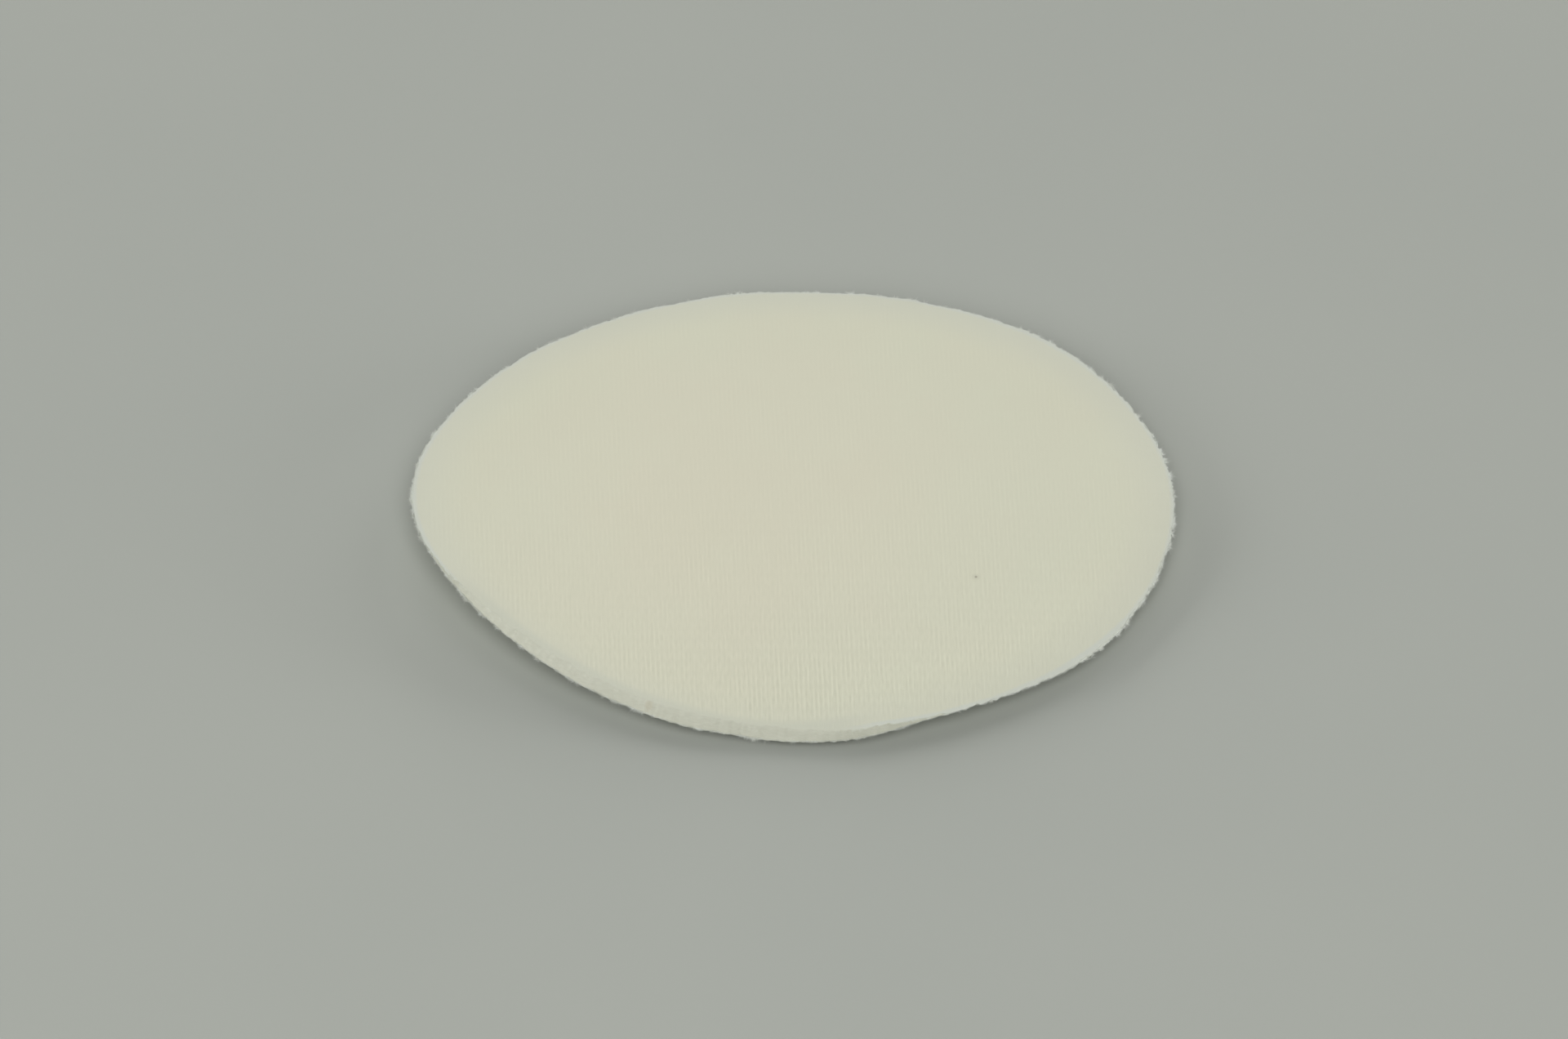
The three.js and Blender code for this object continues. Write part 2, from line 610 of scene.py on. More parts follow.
@dataclass(frozen=True)
class KnitFinish:
    """Cream cotton knit: fine ribs of loops that show here and there, with painted shade in their
    grooves and towards the rim, and one small speck of dirt.
    """

    stitch: KnitStitch
    form: PadForm
    name: str = "cream_knit"
    cream: Colour = (0.645, 0.632, 0.495, 1)
    pale: Colour = (0.645, 0.642, 0.502, 1)
    # dark end of the knit's tone: painted shade in the rib grooves and between the loops, and darker
    # yarn in the streaks
    groove_shade_and_yarn_tone: Colour = (0.545, 0.541, 0.417, 1)
    # painted shade that darkens the knit towards its rim, more at the back
    edge: Colour = (0.562, 0.565, 0.463, 1)
    frayed: Colour = (0.550, 0.567, 0.495, 1)
    # painted shade where the knit meets the downward-facing bevel at the front left
    bevel_shade: Colour = (0.548, 0.553, 0.450, 1)
    dirt: Colour = (0.200, 0.185, 0.140, 1)
    green_tint: Colour = (0.988, 1.0, 1.008, 1)
    rosy_tint: Colour = (1.012, 1.0, 1.008, 1)
    rosy_place: tuple[float, float, float] = in_mm(-5, 0, 0)
    rosy_size: float = 29 * MM
    rosy_core: float = 0.3
    mottle_size: float = 9 * MM
    patch_size: float = 6 * MM
    dash_size: tuple[float, float, float] = (0.73, 2.4 * MM, 1.0)  # in ribs, then in metres
    streak_size: tuple[float, float, float] = in_mm(0.16, 1.7, 1.7)
    fuzz_size: tuple[float, float, float] = in_mm(0.11, 0.11, 0.11)
    mottle_span: tuple[float, float] = (0.35, 0.7)
    patch_span: tuple[float, float] = (0.32, 0.68)
    dash_span: tuple[float, float] = (0.34, 0.66)
    least_patch: float = 0.5
    patch_gain: float = 1.2
    loop_slant: float = 0.55
    loop_depth: float = 0.03 * MM
    bump_strength: float = 0.5
    mean_ridge: float = 0.33
    mean_shade: float = 0.42
    rib_shade: float = 0.5
    loop_shade: float = 0.1
    streak_shade: float = 0.65
    fuzz_shade: float = 0.3
    rib_relief: float = 0.3
    loop_relief: float = 0.15
    streak_relief: float = 0.3
    fuzz_relief: float = 0.25
    speck_place: tuple[float, float, float] = in_mm(16.7, -9.6, 0)
    speck_size: float = 0.17 * MM
    speck_strength: float = 0.55
    smudge_size: float = 0.5 * MM
    smudge_strength: float = 0.1
    smooth_reach: tuple[float, float] = (0.955, 1.0)
    edge_smoothing: float = 0.65
    # where the painted rim shade starts and where it is full
    thin_reach: tuple[float, float] = (0.84, 1.02)
    mean_rim_shade: float = 0.75
    rim_shade_tilt: float = 0.5
    frayed_reach: tuple[float, float] = (0.986, 0.998)
    bevel_shade_reach: tuple[float, float] = (0.935, 0.972)
    bevel_shade_front: tuple[float, float] = in_mm(9, 15)
    bevel_shade_right: tuple[float, float] = in_mm(3, 9)
    roughness: float = 0.95
    specular: float = 0.2
    sheen: float = 0.12
    sheen_roughness: float = 0.6

    def reach(self, board: NodeBoard, x: Flow, y: Flow) -> Flow:
        """How far out a place lies on the pad.

        Args:
            board: the material's nodes.
            x: place along the pad.
            y: place across the pad.

        Returns:
            0 at the centre and 1 on the outline.
        """
        along = x / (self.form.length / 2)
        narrow = board.math("MINIMUM", along, 0)
        blunt = board.math("MAXIMUM", along, 0)
        taper = narrow**2 * self.form.narrow_end_taper + blunt**2 * self.form.blunt_end_taper
        across = y / (self.form.width / 2 - taper)
        return (along**2 + across**2) ** 0.5

    def weave(self, board: NodeBoard, place: Flow) -> tuple[Flow, Flow]:
        """The knit's ribs and loops, with painted shade in their hollows and the unevenness of their
        yarn.

        Args:
            board: the material's nodes.
            place: the point's place.

        Returns:
            How dark each point is painted, from painted shade in the rib grooves and between the loops
            plus the yarn's random tone, and how far it stands out.
        """
        x, y, _ = board.along(place)
        wale = (x + y * self.stitch.wale_lean) / self.stitch.rib_pitch
        leg = (wale + 0.5).floor()
        off_leg = wale - leg
        side = leg.ping_pong(1) * 2 - 1
        ridge = (1 - abs(off_leg) * 2) ** 2
        course = y / self.stitch.course_height + side * off_leg * self.loop_slant
        loop = (course * TAU).cos() * 0.5 + 0.5
        patch = board.noise(place, (self.patch_size,) * 3).eased(*self.patch_span)
        dash = board.noise(board.point(leg, y), self.dash_size).eased(*self.dash_span)
        shown = dash * (patch * self.patch_gain + self.least_patch)
        streak = board.noise(place, self.streak_size) - 0.5
        fuzz = board.noise(place, self.fuzz_size) - 0.5
        # painted shade: darker in the grooves between the ribs and between the loops; the streaks and
        # fuzz are the yarn's own tone
        shade = (self.mean_ridge - ridge) * shown * self.rib_shade + (0.5 - loop) * self.loop_shade
        shade = shade + streak * self.streak_shade + fuzz * self.fuzz_shade
        relief = ridge * shown * self.rib_relief + loop * self.loop_relief
        relief = relief - streak * self.streak_relief + fuzz * self.fuzz_relief
        return shade, relief

    def rim_shade_and_fray(self, board: NodeBoard, knit: Flow, x: Flow, y: Flow) -> Flow:
        """The knit's colour with painted shade towards the rim, its frayed tone on the rim and painted
        shade at the front left.

        Args:
            board: the material's nodes.
            knit: the colour before its wear.
            x: place along the pad.
            y: place across the pad.

        Returns:
            The colour with its painted shade and fray.
        """
        reach = self.reach(board, x, y)
        # painted shade: the knit darkens towards its rim, more strongly towards the back
        thin = reach.eased(*self.thin_reach) * (y / self.form.width * self.rim_shade_tilt + self.mean_rim_shade)
        knit = board.mix(thin, knit, self.edge)
        knit = board.mix(reach.eased(*self.frayed_reach), knit, self.frayed)
        # painted shade of the bevel, spread onto the knit at the front left
        bare_arc = (0 - y).eased(*self.bevel_shade_front) * (1 - x.eased(*self.bevel_shade_right))
        return board.mix(reach.eased(*self.bevel_shade_reach) * bare_arc, knit, self.bevel_shade)

    def material(self) -> bpy.types.Material:
        """Makes the knit's material.

        Returns:
            The material.
        """
        board = NodeBoard(self.name)
        place = board.place()
        plan = board.plan(place)
        x, y, _ = board.along(place)
        smooth = self.reach(board, x, y).eased(*self.smooth_reach) * self.edge_smoothing
        # how strongly the painted groove shade and the relief show: most at the front, less near the
        # rim
        fade = self.stitch.crispness(y) * (1 - smooth)
        shade, relief = self.weave(board, place)
        mottle = board.noise(place, (self.mottle_size,) * 3, detail=3)
        yarn = board.mix(mottle.eased(*self.mottle_span), self.cream, self.pale)
        # mixes the yarn towards the painted groove shade and the darker yarn
        knit = self.rim_shade_and_fray(board, board.mix(shade * fade + self.mean_shade, yarn, self.groove_shade_and_yarn_tone), x, y)
        rosy = board.near(plan, self.rosy_place, self.rosy_size, self.rosy_core)
        knit = board.mix(1.0, knit, board.mix(rosy, self.green_tint, self.rosy_tint), "MULTIPLY")
        speck = board.near(plan, self.speck_place, self.speck_size) * self.speck_strength
        smudge = board.near(plan, self.speck_place, self.smudge_size) * self.smudge_strength
        return board.shade(
            {
                "Base Color": board.mix(speck + smudge, knit, self.dirt),
                "Roughness": self.roughness,
                "Specular IOR Level": self.specular,
                "Sheen Weight": self.sheen,
                "Sheen Roughness": self.sheen_roughness,
                "Normal": board.bump(relief * fade, self.loop_depth, self.bump_strength),
            }
        )


@dataclass(frozen=True)
class WaddingFinish:
    """Loose bleached cotton, whiter than the knit, its colour darkened below the knit's by painted
    shade of the sloping cut side, with one brownish fleck at the front left.
    """

    name: str = "loose_cotton"
    # both tones carry painted shade of the sloping cut side
    white: Colour = (0.577, 0.585, 0.487, 1)
    shaded: Colour = (0.540, 0.547, 0.452, 1)
    fleck: Colour = (0.440, 0.370, 0.250, 1)
    strand_size: float = 0.12 * MM
    clump_size: float = 1.6 * MM
    fleck_place: tuple[float, float, float] = in_mm(-13.2, -25.1, 0)
    fleck_size: float = 0.5 * MM
    fleck_strength: float = 0.25
    strand_share: float = 0.6
    strand_span: tuple[float, float] = (0.38, 0.68)
    strand_length: float = 5
    strand_depth: float = 0.06 * MM
    bump_strength: float = 0.7
    roughness: float = 1.0
    specular: float = 0.1
    sheen: float = 0.2

    def material(self) -> bpy.types.Material:
        """Makes the wadding's material.

        Returns:
            The material.
        """
        board = NodeBoard(self.name)
        place = board.place()
        long = self.strand_length * self.strand_size
        strands = board.noise(place, (long, long, self.strand_size), detail=4)
        clumps = board.noise(place, (self.clump_size,) * 3, detail=3)
        shade = strands * self.strand_share + clumps * (1 - self.strand_share)
        cotton = board.mix(shade.eased(*self.strand_span), self.shaded, self.white)
        fleck = board.near(board.plan(place), self.fleck_place, self.fleck_size) * self.fleck_strength
        return board.shade(
            {
                "Base Color": board.mix(fleck, cotton, self.fleck),
                "Roughness": self.roughness,
                "Specular IOR Level": self.specular,
                "Sheen Weight": self.sheen,
                "Normal": board.bump(strands, self.strand_depth, self.bump_strength),
            }
        )


@dataclass(frozen=True)
class FibreFinish:
    """Single cotton fibres, paler than the knit that they come from."""

    name: str = "cotton_fibre"
    pale: Colour = (0.680, 0.702, 0.655, 1)
    cream: Colour = (0.590, 0.607, 0.550, 1)
    grain: float = 0.8 * MM
    tone_span: tuple[float, float] = (0.35, 0.65)
    roughness: float = 0.9
    specular: float = 0.2

    def material(self) -> bpy.types.Material:
        """Makes the fibres' material.

        Returns:
            The material.
        """
        board = NodeBoard(self.name)
        tone = board.noise(board.place(), (self.grain,) * 3)
        colour = board.mix(tone.eased(*self.tone_span), self.cream, self.pale)
        return board.shade(
            {
                "Base Color": colour,
                "Roughness": self.roughness,
                "Specular IOR Level": self.specular,
            }
        )


@dataclass(frozen=True)
class FloorFinish:
    """A plain pale matt table top."""

    name: str = "pale_table"
    grey: Colour = (0.382, 0.398, 0.361, 1)
    darker: Colour = (0.372, 0.389, 0.354, 1)
    cloud_size: float = 60 * MM
    cloud_span: tuple[float, float] = (0.3, 0.7)
    roughness: float = 0.8
    specular: float = 0.1

    def material(self) -> bpy.types.Material:
        """Makes the table's material.

        Returns:
            The material.
        """
        board = NodeBoard(self.name)
        cloud = board.noise(board.place(), (self.cloud_size,) * 3, detail=3)
        colour = board.mix(cloud.eased(*self.cloud_span), self.grey, self.darker)
        return board.shade(
            {
                "Base Color": colour,
                "Roughness": self.roughness,
                "Specular IOR Level": self.specular,
            }
        )


@dataclass(frozen=True)
class Tufts:
    """How the loose ends along a cut gather in small tufts."""

    seed: int
    reach: RoundCurve
    count: int = 440
    least: float = 0.5
    gain: float = 1.7
    steepness: float = 1.5

    def growth(self, angle: np.ndarray) -> np.ndarray:
        """How much longer than usual the ends are at each angle."""
        swell = round_noise(self.seed, angle, self.count)
        return self.reach.at(angle) * (self.least + self.gain * np.maximum(0, swell) ** self.steepness)


@dataclass(frozen=True)
class LooseEnds:
    """Loose cotton ends that stand out of a cut, each a thin closed tube."""

    name: str
    slot: str
    count: int
    seed: int
    tufts: Tufts
    length: tuple[float, float] = in_mm(0.06, 0.28)
    radius: tuple[float, float] = in_mm(0.006, 0.012)
    spread: float = 0.7
    rise_share: float = 0.7
    lift: float = 0.1
    droop: float = 0.0
    curl: float = 0.35
    bend: float = 0.25
    sides: int = 3
    ring_shares: tuple[float, ...] = (0.0, 0.6)
    ring_widths: tuple[float, ...] = (1.0, 0.8)
    floor_clear: float = 0.02 * MM

    def build(self, angle: np.ndarray, roots: Points, ways: Points) -> bpy.types.Object:
        """Makes all the ends as one piece.

        Args:
            angle: each end's place round the outline.
            roots: where the ends start.
            ways: directions out of the cut.

        Returns:
            The piece.
        """
        rng = np.random.default_rng(self.seed)
        length = rng.uniform(*self.length, self.count) * self.tufts.growth(angle)
        radius = rng.uniform(*self.radius, self.count)
        level_side = np.stack([-ways[:, 1], ways[:, 0], 0 * length], axis=-1)
        up = np.array([0.0, 0.0, 1.0])
        sway = rng.normal(0, self.spread, self.count)[:, None]
        rise = rng.normal(self.lift, self.spread * self.rise_share, self.count)[:, None]
        way = ways + sway * level_side + rise * up
        way /= np.linalg.norm(way, axis=-1, keepdims=True)
        curl = rng.normal(0, self.curl, self.count)[:, None] * level_side
        curl = curl + rng.normal(-self.droop, self.bend, self.count)[:, None] * up
        side = np.cross(way, up)
        side /= np.linalg.norm(side, axis=-1, keepdims=True)
        other = np.cross(way, side)
        points = []
        for share, width in zip(self.ring_shares, self.ring_widths):
            middle = roots + length[:, None] * (share * way + share**2 * curl)
            for corner in range(self.sides):
                turn = TAU * corner / self.sides
                off = math.cos(turn) * side + math.sin(turn) * other
                points.append(middle + (radius * width)[:, None] * off)
        points.append(roots + length[:, None] * (way + curl))
        grid = np.stack(points, axis=1)
        grid[..., 2] = np.maximum(grid[..., 2], self.floor_clear)
        return self.piece(grid)

    def piece(self, grid: Points) -> bpy.types.Object:
        """Joins the ends' vertices into one piece.

        Args:
            grid: each end's rings of vertices and its tip.

        Returns:
            The piece.
        """
        sides = self.sides
        rings = len(self.ring_shares)
        pattern = []
        for ring in range(rings - 1):
            for corner in range(sides):
                low = ring * sides + corner
                beside = ring * sides + (corner + 1) % sides
                pattern.append([low, beside, beside + sides, low + sides])
        last = (rings - 1) * sides
        tips = [[last + corner, last + (corner + 1) % sides, rings * sides] for corner in range(sides)]
        base = [list(range(sides))[::-1]]
        faces = []
        for start in range(0, grid.shape[0] * grid.shape[1], grid.shape[1]):
            faces += [[start + corner for corner in face] for face in (*pattern, *tips, *base)]
        return cotton_piece(self.name, grid.reshape(-1, 3), faces)

    def dress(self, piece: bpy.types.Object, fibre: bpy.types.Material) -> None:
        """Gives the ends their finish. They are too fine to cast a shadow.

        Args:
            piece: the ends' piece.
            fibre: their material.
        """
        piece.data.materials.append(fibre)
        piece.visible_shadow = False


@dataclass
class KnitCover:
    """One knitted cover: a closed thin sheet whose mesh follows the wales."""

    form: PadForm
    side: Side
    edge: CutEdge
    stitch: KnitStitch
    ends: LooseEnds
    thickness: float = 0.26 * MM
    cut_thickness: float = 0.04 * MM
    thin_reach: float = 0.7 * MM
    pinch_reach: float = 5 * MM
    shut_gap: float = 0.1 * MM
    open_from: float = 0.4 * MM
    open_slope: float = 0.9
    columns_per_rib: int = 4
    edge_rows: tuple[float, ...] = in_mm(0, 0.012, 0.04, 0.09, 0.17, 0.28, 0.45, 0.7, 1.0, 1.4, 1.9)
    lining_rows: tuple[float, ...] = in_mm(0, 0.04, 0.17, 0.45, 1.0, 1.9)
    edge_rows_share: float = 0.25
    row_gap: float = 0.56 * MM
    lining_gap: float = 7 * MM
    end_columns: tuple[float, ...] = in_mm(0.01, 0.04)
    outline_steps: int = 14400
    unevenness: float = 0.05 * MM
    soft_cells: tuple[int, int] = (9, 7)
    fine_cells: tuple[int, int] = (23, 19)
    fine_share: float = 0.4
    edge_wave: float = 0.08 * MM
    edge_waves: int = 110
    wave_reach: float = 1.2 * MM
    relief_seed: int = 31

    @property
    def name(self) -> str:
        """The cover's name."""
        return f"{self.side.value}_cover_knit"

    @property
    def node(self) -> str:
        """Name of the solid that the cover stands for."""
        return f"{self.side.value}_cover"

    def columns(self) -> tuple[np.ndarray, np.ndarray, np.ndarray]:
        """Wales of the mesh.

        Returns:
            Each column's wale, and where it meets the cover's front and back edges across the pad.
        """
        x, y = self.edge.line(self.form, whole_turn(self.outline_steps))
        wale = x + self.stitch.wale_lean * y
        start = int(np.argmax(wale))
        wale = np.roll(wale, -start)
        y = np.roll(y, -start)
        turn = int(np.argmin(wale))
        step = self.stitch.rib_pitch / self.columns_per_rib
        ends = np.array(self.end_columns)
        clear = ends[-1] + step / 2
        first = math.ceil((wale.min() + clear) / step)
        last = math.floor((wale.max() - clear) / step)
        inner = step * np.arange(first, last + 1)
        columns = np.concatenate([wale.min() + ends, inner, wale.max() - ends[::-1]])
        back = np.interp(columns, np.maximum.accumulate(wale[turn::-1]), y[turn::-1])
        front = np.interp(columns, np.maximum.accumulate(wale[turn:]), y[turn:])
        return columns, front, back

    def plan_rows(
        self, front: np.ndarray, back: np.ndarray, rows: Sequence[float], gap: float
    ) -> np.ndarray:
        """Places across the pad of a face's vertices, close together at the edges.

        Args:
            front: where each column starts.
            back: where each column ends.
            rows: distances of the outer rows from an edge.
            gap: spacing of the rows between.

        Returns:
            One row of places for each column.
        """
        span = back - front
        steps = np.array(rows)
        tight = np.minimum(1, self.edge_rows_share * span / steps[-1])[:, None] * steps
        between = round((span.max() - 2 * steps[-1]) / gap)
        shares = np.linspace(0, 1, between + 1)[1:-1]
        low = front[:, None] + tight
        high = back[:, None] - tight[:, ::-1]
        middle = low[:, -1:] + (high[:, :1] - low[:, -1:]) * shares
        return np.concatenate([low, middle, high], axis=1)

    def near_cut(self, x: np.ndarray, y: np.ndarray) -> np.ndarray:
        """How near places lie to the cover's cut edge: 1 on it or beyond, 0 well inside."""
        apart = self.form.depth_at(x, y) - self.edge.inset(self.form.angle_at(x, y))
        return np.clip(1 - apart / self.thin_reach, 0, 1) ** 2

    def knit_depth(self, x: np.ndarray, y: np.ndarray) -> np.ndarray:
        """Depth of the knit under the cover's outside, where it thins out towards its cut edge."""
        thin = self.near_cut(x, y)
        return self.thickness * (1 - thin) + self.cut_thickness * thin

    def shut(self, angle: np.ndarray) -> np.ndarray:
        """Where the cover's edge lies shut on the other cover: 1 shut, 0 open on the wadding."""
        return 1 - smooth_step(np.clip(self.edge.stand_back.at(angle) / self.open_from, 0, 1))

    def outside(self, x: np.ndarray, y: np.ndarray) -> np.ndarray:
        """Height of the cover's outside. The covers draw together where the edge lies shut.

        Args:
            x: places along the pad.
            y: places across the pad.

        Returns:
            The height at each place.
        """
        under, top = self.form.faces_at(x, y)
        angle = self.form.angle_at(x, y)
        apart = self.form.depth_at(x, y) - self.edge.inset(angle)
        pinch = np.clip(1 - apart / self.pinch_reach, 0, 1) ** 2
        draw = pinch * (self.form.edge_thickness - self.shut_gap)
        at_back = (1 + np.sin(angle)) / 2
        if self.side is Side.BACK:
            return under + draw * at_back
        return top - draw * self.shut(angle) * (1 - at_back)

    def relief(self, x: np.ndarray, y: np.ndarray) -> np.ndarray:
        """Soft unevenness of the cover, with small waves along its edge.

        Args:
            x: places along the pad.
            y: places across the pad.

        Returns:
            Height at each place.
        """
        across = x / self.form.length
        along = y / self.form.width
        soft = lattice_noise(self.relief_seed, across, along, self.soft_cells)
        fine = lattice_noise(self.relief_seed + 1, across, along, self.fine_cells)
        angle = self.form.angle_at(x, y)
        depth = self.form.depth_at(x, y)
        near_edge = np.clip(1 - depth / self.wave_reach, 0, 1) ** 2
        wave = round_noise(self.relief_seed + 2, angle, self.edge_waves)
        inside = np.clip(depth / self.wave_reach, 0, 1)
        uneven = self.unevenness * (soft + self.fine_share * fine)
        return uneven * inside + self.edge_wave * wave * near_edge

    def face_points(self, columns: np.ndarray, y: np.ndarray, lining: bool) -> Points:
        """Vertices of one face of the cover.

        Args:
            columns: each column's wale.
            y: places across the pad, one row for each column.
            lining: whether it is the smooth inner face and not the ribbed outer one.

        Returns:
            The vertices, column by column.
        """
        x = columns[:, None] - self.stitch.wale_lean * y
        if lining:
            sink = self.knit_depth(x, y)
        else:
            rib = np.abs(np.cos(np.pi * columns / self.stitch.rib_pitch))[:, None]
            height = self.stitch.rib_height * self.stitch.crispness(y)
            sink = height * (1 - rib) * (1 - self.near_cut(x, y))
        z = self.outside(x, y) - self.side.up * sink + self.relief(x, y)
        if self.side is Side.BACK:
            z = np.maximum(z, sink)
        return np.stack([x, y, z], axis=-1)

    def build(self) -> bpy.types.Object:
        """Makes the cover's mesh.

        Returns:
            The cover.
        """
        columns, front, back = self.columns()
        outer_y = self.plan_rows(front, back, self.edge_rows, self.row_gap)
        inner_y = self.plan_rows(front, back, self.lining_rows, self.lining_gap)
        outer = self.face_points(columns, outer_y, lining=False)
        inner = self.face_points(columns, inner_y, lining=True)
        outer_ids = np.arange(outer.shape[0] * outer.shape[1]).reshape(outer.shape[:2])
        inner_ids = outer_ids.size + np.arange(inner.shape[0] * inner.shape[1]).reshape(inner.shape[:2])
        quads = [
            grid_quads(outer_ids),
            grid_quads(inner_ids[:, ::-1]),
            grid_quads(np.stack([inner_ids[:, 0], outer_ids[:, 0]], axis=1)),
            grid_quads(np.stack([outer_ids[:, -1], inner_ids[:, -1]], axis=1)),
        ]
        left = [*outer_ids[0], *inner_ids[0, ::-1]]
        right = [*outer_ids[-1, ::-1], *inner_ids[-1]]
        faces = [list(map(int, face)) for face in (*np.concatenate(quads), left, right)]
        if self.side is Side.BACK:
            faces = [face[::-1] for face in faces]
        points = np.concatenate([outer.reshape(-1, 3), inner.reshape(-1, 3)])
        return cotton_piece(self.name, points, faces)

    def rim(self, angle: np.ndarray) -> tuple[Points, Points]:
        """Points in the middle of the cut edge, and the way out of it.

        Args:
            angle: places round the outline.

        Returns:
            The points and their outward directions.
        """
        x, y = self.edge.line(self.form, angle)
        depth = self.cut_thickness / 2
        z = np.maximum(self.outside(x, y) - self.side.up * depth + self.relief(x, y), depth)
        ways = self.form.outward(angle)
        if self.side is Side.FRONT:
            ways[:, 2] -= self.open_slope * (1 - self.shut(angle))
        return np.stack([x, y, z], axis=-1), ways

    def flat_area(self) -> float:
        """Area of the cut oval, laid flat."""
        x, y = self.edge.line(self.form, whole_turn(self.outline_steps))
        return float(abs(np.sum(x * np.roll(y, -1) - y * np.roll(x, -1))) / 2)

    def dress(
        self, cover: bpy.types.Object, knit: bpy.types.Material, fringe: bpy.types.Object
    ) -> None:
        """Gives the cover its finish and hides the solid that it stands for.

        Args:
            cover: the cover's piece.
            knit: its material.
            fringe: the loose ends along its edge; not used.
        """
        cover.data.materials.append(knit)
        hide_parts(self.node)
        self.form.width
        self.form.length
        self.flat_area()


@dataclass
class Wadding:
    """The filling: one soft body, bare where the front cover stands back from the edge."""

    edge: CutEdge
    front: KnitCover
    back: KnitCover
    name: str = "wadding_body"
    around: int = 1800
    bare_shares: tuple[float, ...] = (0.01, 0.06, 0.15, 0.3, 0.45, 0.6, 0.75, 0.88, 1.0)
    covered_insets: tuple[float, ...] = in_mm(14, 8, 4, 2, 1, 0.4, 0.1)
    under_insets: tuple[float, ...] = in_mm(0, 0.15, 0.5, 1.2, 3, 7, 12)
    side_rows: int = 3
    clear: float = 0.015 * MM
    least_bare: float = 0.05 * MM
    bare_from: float = 0.15 * MM
    lip_share: float = 0.12
    bevel_power: float = 1.25
    strand_relief: float = 0.02 * MM
    clump_relief: float = 0.04 * MM
    grain_depth: float = 3 * MM
    strand_cells: tuple[int, int] = (620, 16)
    clump_cells: tuple[int, int] = (150, 5)
    fluff_seed: int = 41
    fill: float = 0.5

    @property
    def form(self) -> PadForm:
        """The pad's form."""
        return self.front.form

    def bare_width(self, angle: np.ndarray) -> np.ndarray:
        """How far the filling shows beyond the front cover's edge."""
        return self.front.edge.inset(angle) - self.edge.inset(angle)

    def fluff(self, angle: np.ndarray, depth: np.ndarray) -> np.ndarray:
        """Unevenness of the bare cotton.

        Args:
            angle: places round the outline.
            depth: distances from the front cover's edge.

        Returns:
            How far each place stands out.
        """
        turn = angle / TAU
        along = depth / self.grain_depth
        strands = lattice_noise(self.fluff_seed, turn, along, self.strand_cells)
        clumps = lattice_noise(self.fluff_seed + 1, turn, along, self.clump_cells)
        return self.strand_relief * strands + self.clump_relief * clumps

    def top_point(
        self, angle: np.ndarray, beyond: np.ndarray | float
    ) -> tuple[np.ndarray, np.ndarray, np.ndarray]:
        """Plan points of the filling's top, and the front cover's height over them.

        Args:
            angle: places round the outline.
            beyond: distances beyond the front cover's edge, below zero under the cover.

        Returns:
            Places along and across the pad, and heights.
        """
        width = np.maximum(self.bare_width(angle), self.least_bare)
        x, y = drawn_in(*self.edge.line(self.form, angle), width - beyond)
        return x, y, self.front.outside(x, y) + self.front.relief(x, y)

    def covered_ring(self, angle: np.ndarray, beyond: float) -> Points:
        """One ring of the top under the front cover, in its hollow."""
        x, y, cover = self.top_point(angle, beyond)
        return np.stack([x, y, cover - self.front.knit_depth(x, y) - self.clear], axis=-1)

    def bare_ring(self, angle: np.ndarray, share: np.ndarray) -> Points:
        """Points of the bevel from the front cover's edge down to the back cover's lip.

        Args:
            angle: places round the outline.
            share: how far down the bevel each lies, from 0 to 1.

        Returns:
            The points.
        """
        width = self.bare_width(angle)
        bare = smooth_step(np.clip(width / self.bare_from, 0, 1))
        beyond = share * np.maximum(width, self.least_bare)
        x, y, cover = self.top_point(angle, beyond)
        hidden = self.front.knit_depth(x, y) + self.clear
        top = cover - hidden * (1 - bare) + self.fluff(angle, beyond) * bare * np.sqrt(share)
        low = self.lip_height(x, y)
        fall = (1 - self.lip_share) * share**self.bevel_power
        return np.stack([x, y, low + (top - low) * (1 - fall)], axis=-1)

    def lip_height(self, x: np.ndarray, y: np.ndarray) -> np.ndarray:
        """Height of the filling's underside, just over the back cover."""
        outside = np.maximum(self.back.outside(x, y) + self.back.relief(x, y), 0)
        return outside + self.back.knit_depth(x, y) + self.clear

    def under_ring(self, angle: np.ndarray, inset: float) -> Points:
        """One ring of the filling's underside, at a distance from the cut side."""
        x, y = drawn_in(*self.edge.line(self.form, angle), inset)
        return np.stack([x, y, self.lip_height(x, y)], axis=-1)

    def build(self) -> bpy.types.Object:
        """Makes the filling's mesh.

        Returns:
            The filling.
        """
        angle = whole_turn(self.around)
        rings = [self.covered_ring(angle, -inset) for inset in self.covered_insets]
        rings += [self.bare_ring(angle, np.full_like(angle, share)) for share in self.bare_shares]
        lip = rings[-1]
        fall = self.under_ring(angle, 0) - lip
        rings += [lip + fall * row / self.side_rows for row in range(1, self.side_rows)]
        rings += [self.under_ring(angle, inset) for inset in self.under_insets]
        count = len(rings)
        ids = np.arange(count * self.around).reshape(count, self.around)
        ids = np.concatenate([ids, ids[:, :1]], axis=1)
        faces = grid_quads(ids).tolist()
        faces.append(ids[0, :-1].tolist())
        faces.append(ids[-1, -2::-1].tolist())
        return cotton_piece(self.name, np.concatenate(rings), faces)

    def dress(self, body: bpy.types.Object, cotton: bpy.types.Material) -> None:
        """Gives the filling its finish and hides the solid that it stands for.

        Args:
            body: the filling's piece.
            cotton: its material.
        """
        body.data.materials.append(cotton)
        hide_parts("cotton_wadding")


